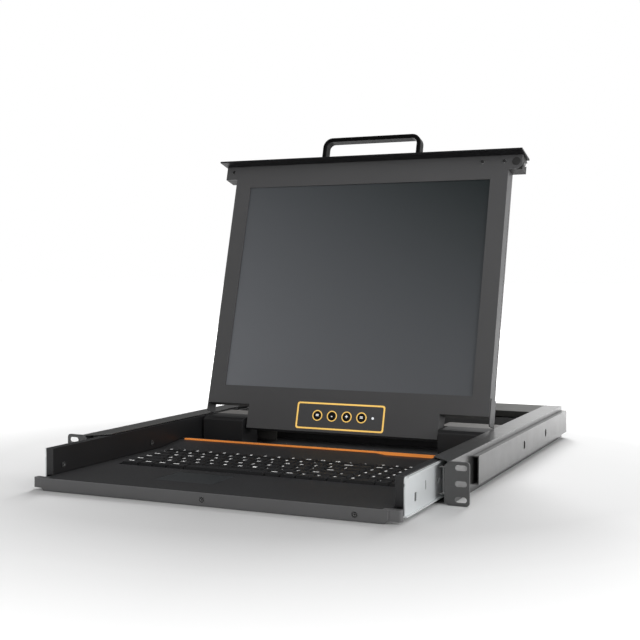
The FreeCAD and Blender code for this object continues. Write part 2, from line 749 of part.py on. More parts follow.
def make_drawer_tray():
    """The sheet-metal drawer: floor, folded front and back, and a side rail folded like an upside-down U."""
    body = new_body("drawer_tray")
    half = "drawer_inner_x"
    inner = "drawer_inner_x + drawer_sheet"
    skirt = f"{RAIL_OUT} - drawer_sheet"
    front = "lip_thickness - drawer_out"
    extrude(body, "XY", "drawer_bottom", DRAWER_FLOOR, [[
        (f"-({inner})", RAIL_FRONT), (f"-({half}) + lip_tab_foot", RAIL_FRONT),
        (f"-({half}) + lip_tab_foot", front), (f"{half} - lip_tab_foot", front),
        (f"{half} - lip_tab_foot", RAIL_FRONT), (inner, RAIL_FRONT), (inner, DRAWER_BACK),
        (f"-({inner})", DRAWER_BACK),
    ]])
    extrude(body, "XY", "drawer_bottom", "lip_top - panel_sheet - running_gap",
            [rect(f"-({half}) + lip_tab_foot", front, f"{half} - lip_tab_foot", f"{front} + drawer_sheet")])
    extrude(body, "XY", "drawer_bottom", "drawer_back_height",
            [rect(f"-({half})", f"{DRAWER_BACK} - drawer_sheet", half, DRAWER_BACK)])
    rail = extrude(body, "XZ", RAIL_FRONT, DRAWER_BACK, [[
        (half, "drawer_bottom"), (inner, "drawer_bottom"), (inner, "drawer_top - drawer_sheet"),
        (skirt, "drawer_top - drawer_sheet"), (skirt, "slide_bottom"), (RAIL_OUT, "slide_bottom"),
        (RAIL_OUT, "drawer_top"), (half, "drawer_top"),
    ]])
    cap = extrude(body, "XZ", RAIL_FRONT, f"{RAIL_FRONT} + drawer_sheet",
                  [rect(half, "lip_top", RAIL_OUT, "drawer_top")])
    mirror(body, [rail, cap])
    finish(body, "drawer_tray")


def make_front_lip():
    """The bar across the drawer's front, with bevelled lower corners and a stepped tab at each end."""
    body = new_body("front_lip")
    half = "lip_half_width"
    back = "lip_thickness - drawer_out"
    extrude(body, "XZ", DRAWER_FRONT, back, [[
        (f"-{half} + lip_bevel", "lip_bottom"), (f"{half} - lip_bevel", "lip_bottom"),
        (half, "lip_bottom + lip_bevel"), (half, "lip_top"), (f"-{half}", "lip_top"),
        (f"-{half}", "lip_bottom + lip_bevel"),
    ]])
    root = "drawer_inner_x - lip_tab_foot + running_gap"
    setback = "lip_tab_setback - drawer_out"
    tab = extrude(body, "XY", "lip_tab_bottom", "lip_top - running_gap", [[
        (root, back), (half, back), ("lip_tab_x", setback, "lip_bevel / 2"), ("lip_tab_x", TAB_BACK, "lip_bevel / 2"),
        (root, TAB_BACK),
    ]])
    mirror(body, [tab])
    cut(body, "XZ", DRAWER_FRONT, f"{DRAWER_FRONT} + screw_sink",
        circles=[(x, "lip_screw_z", "screw_radius + running_gap") for x in ("0", "lip_screw_x")])
    finish(body, "front_lip")


def make_drawer_screws():
    """Button-head screws in the lip and on the inside of the rails, each with a hexagon socket."""
    def screw(axis_place, turn):
        head = doc.addObject("Part::Cylinder", "screw_head")
        socket = doc.addObject("Part::Prism", "screw_socket")
        tie(head, Radius="screw_radius", Height="screw_sink - running_gap / 3")
        tie(socket, Circumradius="screw_radius / 2", Height="screw_sink")
        for piece, lift in ((head, "0"), (socket, "screw_sink / 2")):
            axis, angle, toward = turn
            piece.Placement = FreeCAD.Placement(FreeCAD.Vector(), FreeCAD.Rotation(FreeCAD.Vector(*axis), angle))
            x, y, z = (f"{place} + {way} * ({lift})" for place, way in zip(axis_place, toward))
            tie(piece, **{".Placement__Base__x": x, ".Placement__Base__y": y, ".Placement__Base__z": z})
        button = doc.addObject("Part::Cut", "screw")
        button.Base = head
        button.Tool = socket
        return button

    forward = ((1, 0, 0), 90, (0, -1, 0))
    rightward = ((0, 1, 0), 90, (1, 0, 0))
    leftward = ((0, 1, 0), -90, (-1, 0, 0))
    screws = [screw((x, f"{DRAWER_FRONT} + screw_sink", "lip_screw_z"), forward) for x in ("0", "lip_screw_x")]
    for y in ("wall_screw_front - drawer_out", "wall_screw_front + wall_screw_gap - drawer_out"):
        screws.append(screw(("-drawer_inner_x", y, "wall_screw_z"), rightward))
        screws.append(screw(("drawer_inner_x", y, "wall_screw_z"), leftward))
    finish(group("drawer_screws", screws), "drawer_screws")


def make_keyboard_panel():
    """The moulded panel: a palm rest, a well for the keys, a slope up to the trim and a ridge behind it."""
    body = new_body("keyboard_panel")
    under = "lip_top - panel_sheet"
    half = PANEL_HALF
    extrude(body, "YZ", f"-{half}", half, [[
        (PANEL_FRONT, under), (PANEL_FRONT, "lip_top", "panel_sheet / 2"), ("slope_start", "lip_top"),
        ("ridge_start", "slope_end_height"), (TRIM_BACK, "slope_end_height"), (TRIM_BACK, "panel_ridge"),
        ("ridge_end", "panel_ridge", "panel_sheet"), ("panel_rear", DRAWER_FLOOR),
        ("panel_rear - panel_sheet", DRAWER_FLOOR), ("ridge_end - panel_sheet", "panel_ridge - panel_sheet"),
        ("ridge_start - panel_sheet", "slope_end_height - panel_sheet - trim_thick + trim_thin"),
        ("slope_start - panel_sheet", under),
    ]])
    margin = "well_margin"
    well = rect(f"keys_left - {margin}", f"keys_front - {margin}", f"{KEYS_RIGHT} + {margin}", f"{KEYS_BACK} + {margin}")
    cut(body, "XY", under, "lip_top", [[(x, y, margin) for x, y in well]])
    pad_low = "touchpad_x - touchpad_width / 2 - running_gap"
    pad_high = "touchpad_x + touchpad_width / 2 + running_gap"
    cut(body, "XY", "lip_top - touchpad_sink", "lip_top", [[(x, y, margin) for x, y in rect(
        pad_low, "touchpad_y - touchpad_depth / 2 - running_gap",
        pad_high, "touchpad_y + touchpad_depth / 2 + running_gap")]])
    cut(body, "XZ", "slope_start", TRIM_BACK, [[
        ("trim_kink", "slope_end_height"), ("trim_kink + 4 * trim_thick", "slope_end_height + trim_thin - trim_thick"),
        (half, "slope_end_height + trim_thin - trim_thick"), (half, "slope_end_height + trim_thick"),
        ("trim_kink", "slope_end_height + trim_thick"),
    ]])
    corner = extrude_notch(body)
    finish(corner, "keyboard_panel")


def extrude_notch(body):
    """Clear the panel's two front corners for the tabs of the lip."""
    root = "drawer_inner_x - lip_tab_foot"
    notch = [rect(root, PANEL_FRONT, PANEL_HALF, f"{TAB_BACK} + running_gap"),
             rect(f"-{PANEL_HALF}", PANEL_FRONT, f"-({root})", f"{TAB_BACK} + running_gap")]
    cut(body, "XY", "lip_tab_bottom", "lip_top", notch)
    return body


def make_touchpad():
    body = new_body("touchpad")
    outline = rect("touchpad_x - touchpad_width / 2", "touchpad_y - touchpad_depth / 2",
                   "touchpad_x + touchpad_width / 2", "touchpad_y + touchpad_depth / 2")
    extrude(body, "XY", "lip_top - touchpad_sink", "lip_top - touchpad_sink + touchpad_sheet",
            [[(x, y, "well_margin") for x, y in outline]])
    finish(body, "touchpad")


def make_orange_trim():
    """The accent strip: thin on the left, stepping down to twice the thickness on the right."""
    body = new_body("orange_trim")
    top = "slope_end_height + trim_thin"
    low = f"{top} - trim_thick"
    right = PANEL_HALF
    extrude(body, "XZ", "ridge_start", TRIM_BACK, [[
        ("trim_left", "slope_end_height"), ("trim_kink", "slope_end_height"),
        ("trim_kink + 4 * trim_thick", low), (right, low), (right, top), ("trim_left", top),
    ]])
    finish(body, "orange_trim")


# Each row of keys: its name, its place in rows from the front, and the widths of its keys in pitches.
KEY_ROWS = (
    ("bottom_row_keys", 0, (1.25, 1, 1, 1.25, -5.5, 1, 1, 1, 1, 1)),
    ("lower_letter_keys", 1, (2.25,) + (1,) * 10 + (1.75, 1)),
    ("home_letter_keys", 2, (1.75,) + (1,) * 11 + (2.25,)),
    ("top_letter_keys", 3, (1.5,) + (1,) * 12 + (1.5,)),
    ("number_keys", 4, (1,) * 13 + (2,)),
    ("function_keys", 5, (1,) * 15),
)
SPACE_START = 4.5
SPACE_WIDTH = 5.5
# The number pad: column, row, width in columns and height in rows of each key.
PAD_KEYS = [(column, row, 1, 1) for row in (2, 3) for column in (0, 1, 2)]
PAD_KEYS += [(column, 1, 1, 1) for column in (0, 1, 2)]
PAD_KEYS += [(column, row, 1, 1) for row in (4, 5) for column in (0, 1, 2, 3)]
PAD_KEYS += [(0, 0, 2, 1), (2, 0, 1, 1), (3, 0, 1, 2), (3, 2, 1, 2)]


def row_span(row, rows=1):
    """Where a row of keys starts and how deep it is."""
    if row == 5:
        return FUNCTION_FRONT, "function_depth"
    return f"keys_front + {row} * key_row_pitch", f"{rows} * key_row_pitch"


def key_cells():
    """Every key of the keyboard as (node, left, width, front, depth)."""
    cells = []
    for name, row, widths in KEY_ROWS:
        front, depth = row_span(row)
        start = 0
        for width in widths:
            if width > 0:
                cells.append((name, f"keys_left + {start} * key_pitch", f"{width} * key_pitch", front, depth))
            start += abs(width)
    front, depth = row_span(0)
    cells.append(("space_bar", f"keys_left + {SPACE_START} * key_pitch", f"{SPACE_WIDTH} * key_pitch", front, depth))
    for column, row, columns, rows in PAD_KEYS:
        front, depth = row_span(row, rows)
        left = f"keys_left + 15 * key_pitch + pad_gap + {column} * pad_pitch"
        cells.append(("number_pad_keys", left, f"{columns} * pad_pitch", front, depth))
    return cells


def make_key(left, width, front, depth):
    """A tapered cap with a square stem below it."""
    cap = doc.addObject("Part::Wedge", "key_cap")
    turn = FreeCAD.Rotation(FreeCAD.Vector(1, 0, 0), 90)
    cap.Placement = FreeCAD.Placement(FreeCAD.Vector(), turn)
    x_size = f"({width}) - key_gap"
    y_size = f"({depth}) - key_gap"
    tie(cap, Xmin="0", Xmax=x_size, Ymin="0", Ymax="key_height", Zmin=f"-({y_size})", Zmax="0",
        X2min="key_taper", X2max=f"{x_size} - key_taper",
        Z2min=f"key_taper - ({y_size})", Z2max="-key_taper",
        **{".Placement__Base__x": f"{left} + key_gap / 2", ".Placement__Base__y": f"{front} + key_gap / 2",
           ".Placement__Base__z": KEY_BOTTOM})
    stem = block("key_stem", f"{left} + ({width}) / 2 - stem_size / 2", f"{front} + ({depth}) / 2 - stem_size / 2",
                 STEM_BOTTOM, "stem_size", "stem_size", f"{KEY_BOTTOM} - {STEM_BOTTOM} + key_gap")
    key = doc.addObject("Part::Fuse", "key")
    key.Base = cap
    key.Tool = stem
    return key


def make_keys():
    cells = key_cells()
    for node in dict.fromkeys(cell[0] for cell in cells):
        keys = [make_key(*cell[1:]) for cell in cells if cell[0] == node]
        finish(group(node, keys), node)


def make_key_plate():
    """The plate under the keys, with a square guide hole for every stem and a rim down to the floor."""
    margin = "2 * well_margin"
    rim = "well_margin / 2"
    left, front = f"keys_left - {margin}", f"keys_front - {margin}"
    width = f"{KEYS_RIGHT} - keys_left + 2 * {margin}"
    depth = f"{KEYS_BACK} - keys_front + 2 * {margin}"
    rim_height = f"lip_top - panel_sheet - {DRAWER_FLOOR}"
    plate = doc.addObject("Part::MultiFuse", "key_plate_solid")
    plate.Shapes = [
        block("key_plate_sheet", left, front, "plate_top - plate_sheet", width, depth, "plate_sheet"),
        block("key_plate_left_rim", left, front, DRAWER_FLOOR, rim, depth, rim_height),
        block("key_plate_right_rim", f"{left} + {width} - {rim}", front, DRAWER_FLOOR, rim, depth, rim_height),
    ]
    hole = "(stem_size + 2 * stem_clearance)"
    holes = [block("key_hole", f"{key_left} + ({key_width}) / 2 - {hole} / 2",
                   f"{key_front} + ({key_depth}) / 2 - {hole} / 2", "plate_top - plate_sheet", hole, hole, "plate_sheet")
             for _, key_left, key_width, key_front, key_depth in key_cells()]
    pierced = doc.addObject("Part::Cut", "key_plate_pierced")
    pierced.Base = plate
    pierced.Tool = group("key_holes", holes)
    finish(pierced, "key_plate")


def make_keyboard_circuit():
    """The circuit board that the stems press on."""
    board = block("keyboard_circuit_box", "keys_left", "keys_front", f"{DRAWER_FLOOR} + running_gap",
                  f"{KEYS_RIGHT} - keys_left", f"{KEYS_BACK} - keys_front", "circuit_sheet")
    finish(group("keyboard_circuit", [board]), "keyboard_circuit")


def make_hinge_block(name, side):
    """A housing for the friction hinge with a bore for the shaft, open towards the middle."""
    body = new_body(name)
    inner = on_side(side, "block_inner_x")
    outer = on_side(side, "lcd_half_width - lcd_sheet - running_gap")
    extrude(body, "YZ", inner, outer, [[
        ("block_front", DRAWER_FLOOR), ("block_front", "block_brow", "drawer_sheet"),
        ("block_front + 2 * drawer_sheet + shaft_radius", "block_top", "shaft_radius"), ("block_back", "block_top"),
        ("block_back", DRAWER_FLOOR),
    ]])
    cut(body, "YZ", inner, on_side(side, "block_inner_x + shaft_reach + shaft_radius"),
        circles=[("hinge_y", "hinge_z", "shaft_radius + shaft_clearance")])
    finish(body, name)


def make_hinge_cover(name, side):
    """The folded plate behind the hinge block, level with it, on a leg down to the drawer's floor."""
    body = new_body(name)
    inner = on_side(side, "cover_inner_x")
    outer = on_side(side, PANEL_HALF)
    front = "block_back + running_gap"
    extrude(body, "YZ", inner, outer, [[
        (front, "block_top - drawer_sheet"), ("cover_back - drawer_sheet", "block_top - drawer_sheet"),
        ("cover_back - drawer_sheet", DRAWER_FLOOR), ("cover_back", DRAWER_FLOOR),
        ("cover_back", "block_top", "drawer_sheet"), (front, "block_top"),
    ]])
    finish(body, name)


# ---------------------------------------------------------------- screen

def screen_outline(margin, top):
    """The outline of the screen's body, inset by a margin, with its two lower corners cut away."""
    side = f"lcd_half_width - ({margin})"
    centre = f"lcd_centre_half - ({margin})"
    step = f"lcd_cutout_rise + ({margin})"
    low = f"0 + ({margin})"
    return [(f"-({centre})", low), (centre, low), (centre, step), (side, step), (side, top),
            (f"-({side})", top), (f"-({side})", step), (f"-({centre})", step)]


def make_lcd_bezel():
    """The front frame: window, button holes, lower corner cut-outs and a wider head."""
    body = new_body("lcd_bezel")
    wide = HEAD_HALF
    side = "lcd_half_width"
    centre = "lcd_centre_half"
    extrude(body, "XZ", "0", "bezel_sheet", [[
        (f"-{centre}", "0"), (centre, "0"), (centre, "lcd_cutout_rise"), (side, "lcd_cutout_rise"),
        (side, "head_bottom"), (wide, "head_bottom", "head_corner"), (wide, "lcd_top"),
        (f"-{wide}", "lcd_top"), (f"-{wide}", "head_bottom"), (f"-{side}", "head_bottom"),
        (f"-{side}", "lcd_cutout_rise"), (f"-{centre}", "lcd_cutout_rise"),
    ]])
    cut(body, "XZ", "0", "bezel_sheet", [rect("-window_half", "window_bottom", "window_half", "window_top")])
    buttons = [(x, "button_rise", "button_radius + running_gap") for x in button_places()]
    cut(body, "XZ", "0", "bezel_sheet", circles=buttons + [("led_x", "button_rise", "led_radius + bolt_clearance")])
    finish_on_screen(body, "lcd_bezel")


def button_places():
    return [f"button_first_x + {index} * button_pitch" for index in range(4)]


VENT_ROWS = 46


def make_lcd_back_cover():
    """The tray behind the bezel, hollow, with a hole for each hinge shaft and a cheek plate on each side."""
    body = new_body("lcd_back_cover")
    extrude(body, "XZ", "bezel_sheet", "lcd_depth", [screen_outline("0", "lcd_top")])
    cut(body, "XZ", "bezel_sheet", SCREEN_BACK, [screen_outline("lcd_sheet", "lcd_top - lcd_sheet")])
    for side in SIDES.values():
        cut(body, "YZ", on_side(side, "lcd_centre_half - lcd_sheet"), on_side(side, "lcd_centre_half"),
            circles=[("hinge_depth", "hinge_rise", "shaft_radius + running_gap")])
    vent = cut(body, "YZ", "-lcd_half_width", "lcd_half_width", [
        rect("vent_depth", "vent_start", "vent_depth + vent_width", "vent_start + vent_height")])
    repeat(body, vent, "Z", f"{VENT_ROWS - 1} * vent_pitch", VENT_ROWS)
    cheeks = [make_cheek(name, side) for name, side in SIDES.items()]
    finish_on_screen(group("lcd_back_cover_pieces", [body] + cheeks), "lcd_back_cover")


def make_cheek(name, side):
    """A plate on the side of the tray that reaches down past the cut-out, beside the hinge block."""
    cheek = new_body(f"cheek_{name}")
    low = "lcd_cutout_rise - cheek_drop"
    high = "lcd_cutout_rise + 2 * cheek_drop"
    extrude(cheek, "YZ", on_side(side, "lcd_half_width"), on_side(side, "lcd_half_width + lcd_sheet"), [[
        ("bezel_sheet", low, "cheek_corner"), ("lcd_depth", low, "cheek_corner"),
        ("lcd_depth", high, "cheek_corner"), ("bezel_sheet", high, "cheek_corner"),
    ]])
    return cheek


def make_lcd_glass():
    body = new_body("lcd_glass")
    extrude(body, "XZ", "bezel_sheet", "bezel_sheet + glass_sheet", [
        rect("-window_half - glass_margin", "window_bottom - glass_margin",
             "window_half + glass_margin", "window_top + glass_margin")])
    finish_on_screen(body, "lcd_glass")


def make_lcd_module():
    """The display module: a shallow metal pan behind the glass, with two mounting rails on its back."""
    body = new_body("lcd_module")
    front = "bezel_sheet + glass_sheet"
    back = f"{front} + module_depth"
    margin = "module_margin"
    wall = "lcd_sheet"
    extrude(body, "XZ", front, back, [
        rect(f"-window_half - {margin}", f"window_bottom - {margin}", f"window_half + {margin}", f"window_top + {margin}")])
    cut(body, "XZ", front, f"{back} - {wall}", [
        rect(f"-window_half - {margin} + {wall}", f"window_bottom - {margin} + {wall}",
             f"window_half + {margin} - {wall}", f"window_top + {margin} - {wall}")])
    extrude(body, "XZ", back, SCREEN_BACK, [
        rect("-window_half / 2", "window_bottom", "-window_half / 2 + module_margin", "window_top"),
        rect("window_half / 2 - module_margin", "window_bottom", "window_half / 2", "window_top")])
    finish_on_screen(body, "lcd_module")


def make_lcd_driver_board():
    """The driver board on the back of the display module."""
    body = new_body("lcd_driver_board")
    seat = "bezel_sheet + glass_sheet + module_depth"
    half = "window_half / 2 - 2 * module_margin"
    extrude(body, "XZ", seat, f"{seat} + board_sheet",
            [rect(f"-({half})", "window_bottom + module_margin", half, "window_bottom + board_depth")])
    extrude(body, "XZ", f"{seat} + board_sheet", f"{seat} + board_sheet + standoff_radius", [
        rect(f"-({half}) / 2", "window_bottom + 2 * module_margin", "0", "window_bottom + board_depth - module_margin")])
    finish_on_screen(body, "lcd_driver_board")


def make_osd_board():
    """The small board that the four buttons press, on two pillars behind the bezel."""
    body = new_body("osd_board")
    seat = "bezel_sheet + lcd_sheet + button_travel"
    half = "osd_half_width - osd_corner"
    extrude(body, "XZ", seat, f"{seat} + board_sheet",
            [rect(f"-({half})", "osd_bottom + osd_corner", half, "osd_top - osd_corner")])
    post = "osd_half_width - 2 * osd_corner"
    extrude(body, "XZ", "bezel_sheet", seat, [
        rect(f"{sign} * ({post}) - osd_line", "button_rise - osd_line", f"{sign} * ({post}) + osd_line",
             "button_rise + osd_line") for sign in (-1, 1)])
    finish_on_screen(body, "osd_board")


def make_osd_markings():
    """The raised orange lines: a frame around the buttons and a ring around each of them."""
    body = new_body("osd_markings")
    inner = "osd_half_width - osd_line"
    outer_points = rect("-osd_half_width", "osd_bottom", "osd_half_width", "osd_top")
    inner_points = rect(f"-({inner})", "osd_bottom + osd_line", inner, "osd_top - osd_line")
    extrude(body, "XZ", "-osd_raise", "0", [
        [(x, z, "osd_corner") for x, z in outer_points],
        [(x, z, "osd_corner - osd_line / 2") for x, z in inner_points]])
    rings = []
    for x in button_places():
        outside = front_disc(x, "button_rise", "ring_radius", "osd_raise")
        inside = front_disc(x, "button_rise", "ring_radius - ring_line", "osd_raise")
        ring = doc.addObject("Part::Cut", "ring")
        ring.Base = outside
        ring.Tool = inside
        rings.append(ring)
    finish_on_screen(group("osd_markings", [body] + rings), "osd_markings")


def make_osd_buttons():
    for number, x in enumerate(button_places(), 1):
        body = new_body(f"osd_button_{number}")
        extrude(body, "XZ", "-button_raise", "bezel_sheet + lcd_sheet - running_gap",
                circles=[(x, "button_rise", "button_radius")])
        bevel_edges(body, "button_raise / 2", lambda edge: edge.BoundBox.YMax < 0)
        finish_on_screen(body, f"osd_button_{number}")


def make_power_led():
    body = new_body("power_led")
    extrude(body, "XZ", "-osd_raise", "bezel_sheet", circles=[("led_x", "button_rise", "led_radius")])
    finish_on_screen(body, "power_led")


def make_end_block(name, side):
    """The block at each end of the head, bored for the latch bolt and slotted for its thumb tab."""
    body = new_body(name)
    inner = on_side(side, "lcd_half_width")
    outer = on_side(side, HEAD_HALF)
    extrude(body, "XZ", "bezel_sheet", "block_depth", [rect(inner, "head_bottom", outer, "lcd_top")])
    bore_end = on_side(side, f"{BOLT_TIP} - bolt_length - bolt_travel - running_gap")
    cut(body, "YZ", bore_end, outer, circles=[("bolt_depth", BOLT_RISE, "bolt_radius + bolt_clearance")])
    cut(body, "XY", BOLT_RISE, "lcd_top", [neck_slot(side)])
    finish_on_screen(body, name)


def neck_slot(side):
    """The slot that the neck of the thumb tab runs in."""
    half = "thumb_neck / 2 + running_gap"
    far = on_side(side, f"{BOLT_TIP} - bolt_length + thumb_neck + 2 * running_gap")
    near = on_side(side, f"{BOLT_TIP} - bolt_length - bolt_travel - running_gap")
    return rect(near, f"bolt_depth - ({half})", far, f"bolt_depth + {half}")


def make_latch_bolt(name, side):
    """A round bolt with a sloped tip, and a thumb tab that stands out through the fascia plate."""
    body = new_body(name)
    tip = BOLT_TIP
    root = f"{BOLT_TIP} - bolt_length"
    extrude(body, "YZ", on_side(side, root), on_side(side, tip),
            circles=[("bolt_depth", BOLT_RISE, "bolt_radius")])
    neck_end = on_side(side, f"{root} + thumb_neck")
    half = "thumb_neck / 2"
    extrude(body, "XY", BOLT_RISE, f"{FASCIA_TOP} + running_gap",
            [rect(on_side(side, root), f"bolt_depth - {half}", neck_end, f"bolt_depth + {half}")])
    extrude(body, "XY", f"{FASCIA_TOP} + running_gap", f"{FASCIA_TOP} + thumb_height", [[
        (x, y, "running_gap * 3") for x, y in rect(
            on_side(side, f"{root} - thumb_neck / 2"), "bolt_depth - thumb_depth / 2",
            on_side(side, f"{root} + thumb_length - thumb_neck / 2"), "bolt_depth + thumb_depth / 2")]])
    cut(body, "XZ", "bolt_depth - bolt_radius", "bolt_depth + bolt_radius", [[
        (on_side(side, f"{BOLT_TIP} - bolt_radius"), f"{BOLT_RISE} - bolt_radius - running_gap"),
        (on_side(side, f"{BOLT_TIP} + running_gap"), f"{BOLT_RISE} - bolt_radius - running_gap"),
        (on_side(side, f"{BOLT_TIP} + running_gap"), BOLT_RISE),
    ]])
    finish_on_screen(body, name)


def make_fascia_plate():
    """The plate across the top of the screen: the front of the closed drawer."""
    body = new_body("fascia_plate")
    extrude(body, "XY", "lcd_top", FASCIA_TOP, [
        rect(f"-{FASCIA_HALF}", "-fascia_overhang", FASCIA_HALF, "lcd_depth")])
    cut(body, "XY", "lcd_top", FASCIA_TOP, [neck_slot(side) for side in SIDES.values()])
    finish_on_screen(body, "fascia_plate")


def make_handle():
    """A bent bar of rounded rectangular section on the fascia plate."""
    body = new_body("handle")
    sketch = new_sketch(body, "XZ", "handle_middle")
    half = "(handle_half_width - handle_bar / 2)"
    top = f"{FASCIA_TOP} + handle_height - handle_bar / 2"
    corners = [(f"-{half}", FASCIA_TOP), (f"-{half}", top), (half, top), (half, FASCIA_TOP)]
    places = [FreeCAD.Vector(value(x), value(z), 0) for x, z in corners]
    for start, end in zip(places, places[1:]):
        sketch.addGeometry(Part.LineSegment(start, end))
    for line, (x, z) in enumerate(corners[:3]):
        pin_point(sketch, line, 1, x, z)
        if line:
            sketch.addConstraint(Sketcher.Constraint("Coincident", line - 1, 2, line, 1))
    pin_point(sketch, 2, 2, *corners[3])
    for line in (1, 2):
        round_corner(sketch, line, "handle_corner - handle_bar / 2")
    section = new_sketch(body, "XY", FASCIA_TOP)
    draw_outline(section, bevelled(f"-{half}", "handle_middle", "handle_bar", "handle_depth", "handle_edge"))
    pipe = body.newObject("PartDesign::AdditivePipe", "Pipe")
    pipe.Profile = section
    pipe.Spine = sketch
    finish_on_screen(body, "handle")


def make_bezel_screws():
    """Three screws in the head of the bezel."""
    places = ("lcd_half_width - head_screw_inner", "lcd_half_width - head_screw_outer",
              "-(lcd_half_width + head_screw_outer)")
    screws = [front_disc(x, "lcd_top - head_screw_drop", "head_screw_radius", "2 * osd_raise") for x in places]
    finish_on_screen(group("bezel_screws", screws), "bezel_screws")


def front_disc(x, z, radius, height):
    """A flat round piece that stands out of the bezel's front face."""
    disc = doc.addObject("Part::Cylinder", "front_disc")
    disc.Placement = FreeCAD.Placement(FreeCAD.Vector(), FreeCAD.Rotation(FreeCAD.Vector(1, 0, 0), 90))
    tie(disc, Radius=radius, Height=height, **{".Placement__Base__x": x, ".Placement__Base__z": z})
    return disc


def make_bumper_disc():
    """The dark disc in the head's right corner that meets the drawer when the screen is shut."""
    body = new_body("bumper_disc")
    extrude(body, "XZ", "-disc_raise", "0", circles=[(f"{HEAD_HALF} - disc_inset", "lcd_top - disc_drop", "disc_radius")])
    bevel_edges(body, "disc_raise / 3", lambda edge: edge.BoundBox.YMax < -0.01)
    finish_on_screen(body, "bumper_disc")


def make_hinge_arm(name, side):
    """The screen's half of the hinge: a shaft, a knuckle around it and a plate against the back cover."""
    body = new_body(name)
    knuckle_out = "lcd_centre_half - lcd_sheet - running_gap"
    knuckle_in = f"{knuckle_out} - knuckle_width"
    tip = "block_inner_x + shaft_reach"
    extrude(body, "YZ", on_side(side, knuckle_in), on_side(side, tip),
            circles=[("hinge_depth", "hinge_rise", "shaft_radius")])
    extrude(body, "YZ", on_side(side, knuckle_in), on_side(side, knuckle_out),
            circles=[("hinge_depth", "hinge_rise", "knuckle_radius")])
    extrude(body, "YZ", on_side(side, knuckle_in), on_side(side, knuckle_out), [[
        ("hinge_depth", "hinge_rise"), ("hinge_depth + knuckle_radius / 2", "hinge_rise - shaft_radius"),
        (SCREEN_BACK, "hinge_rise"), (SCREEN_BACK, "arm_height"),
        (f"{SCREEN_BACK} - lcd_sheet", "arm_height"), (f"{SCREEN_BACK} - lcd_sheet", "2 * hinge_rise"),
        ("hinge_depth + shaft_radius", "hinge_rise + shaft_radius"),
    ]])
    finish_on_screen(body, name)


# ---------------------------------------------------------------- build

make_chassis_tray()
for side_name, side_sign in SIDES.items():
    make_ear("ear_" + side_name, side_sign)
    make_channel("side_channel_" + side_name, side_sign)
    make_fixed_slide("chassis_slide_" + side_name, side_sign)
    make_middle_slide("middle_slide_" + side_name, side_sign)
    make_drawer_slide("drawer_slide_" + side_name, side_sign)
    make_hinge_block("hinge_block_" + side_name, side_sign)
    make_hinge_cover("hinge_cover_" + side_name, side_sign)
    make_hinge_arm("hinge_arm_" + side_name, side_sign)
    make_end_block("end_block_" + side_name, side_sign)
    make_latch_bolt("latch_bolt_" + side_name, side_sign)
make_rear_cover()
make_rear_panel()
make_vga_port()
make_usb_port()
make_power_inlet()
make_power_supply()
make_interface_board()
make_drawer_tray()
make_front_lip()
make_drawer_screws()
make_keyboard_panel()
make_touchpad()
make_orange_trim()
make_keys()
make_key_plate()
make_keyboard_circuit()
make_lcd_bezel()
make_lcd_back_cover()
make_lcd_glass()
make_lcd_module()
make_lcd_driver_board()
make_osd_board()
make_osd_markings()
make_osd_buttons()
make_power_led()
make_fascia_plate()
make_handle()
make_bezel_screws()
make_bumper_disc()
doc.recompute()

for thing in doc.Objects:
    if "Invalid" in thing.State or "Error" in thing.State:
        raise RuntimeError(thing.Label + " did not recompute")
for piece in PARTS:
    if piece.Shape.isNull() or not piece.Shape.isValid():
        raise RuntimeError(piece.Label + " has no valid shape")

os.makedirs("parts", exist_ok=True)
for piece in PARTS:
    piece.Shape.exportStep(os.path.join("parts", piece.Label + ".step"))
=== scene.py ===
import json
import math

import bmesh
import bpy
from mathutils import Matrix, Vector


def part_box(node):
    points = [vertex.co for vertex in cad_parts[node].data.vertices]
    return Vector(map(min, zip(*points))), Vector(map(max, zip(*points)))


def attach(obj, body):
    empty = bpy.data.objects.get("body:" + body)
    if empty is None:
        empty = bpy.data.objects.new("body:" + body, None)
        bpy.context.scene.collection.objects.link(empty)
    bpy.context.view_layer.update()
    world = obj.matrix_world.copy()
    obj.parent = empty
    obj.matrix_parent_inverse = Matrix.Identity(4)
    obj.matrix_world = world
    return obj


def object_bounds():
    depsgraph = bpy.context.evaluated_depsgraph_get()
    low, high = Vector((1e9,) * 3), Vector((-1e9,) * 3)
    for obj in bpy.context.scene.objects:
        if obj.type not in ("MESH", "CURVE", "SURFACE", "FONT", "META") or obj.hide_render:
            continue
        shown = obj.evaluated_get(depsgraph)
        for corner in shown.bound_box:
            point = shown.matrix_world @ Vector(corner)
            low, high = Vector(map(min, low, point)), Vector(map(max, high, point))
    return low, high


# Looks for the rackmount console drawer: materials, printed marks, indicator lamps, stage and camera.
# Lengths are in metres, angles in degrees, lamps in watts, and colours are linear.

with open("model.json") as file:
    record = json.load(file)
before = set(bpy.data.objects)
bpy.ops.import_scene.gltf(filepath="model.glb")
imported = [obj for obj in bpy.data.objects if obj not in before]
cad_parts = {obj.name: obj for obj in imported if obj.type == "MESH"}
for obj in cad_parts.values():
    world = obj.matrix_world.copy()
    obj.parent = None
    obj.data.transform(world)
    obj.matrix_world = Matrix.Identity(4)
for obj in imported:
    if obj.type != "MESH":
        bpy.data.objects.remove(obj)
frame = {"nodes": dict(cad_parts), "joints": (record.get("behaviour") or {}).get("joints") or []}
NODES = frame["nodes"]
JOINTS = {joint["name"]: joint for joint in frame["joints"]}
CAD_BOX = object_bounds()


# ---------------------------------------------------------------- shader nodes

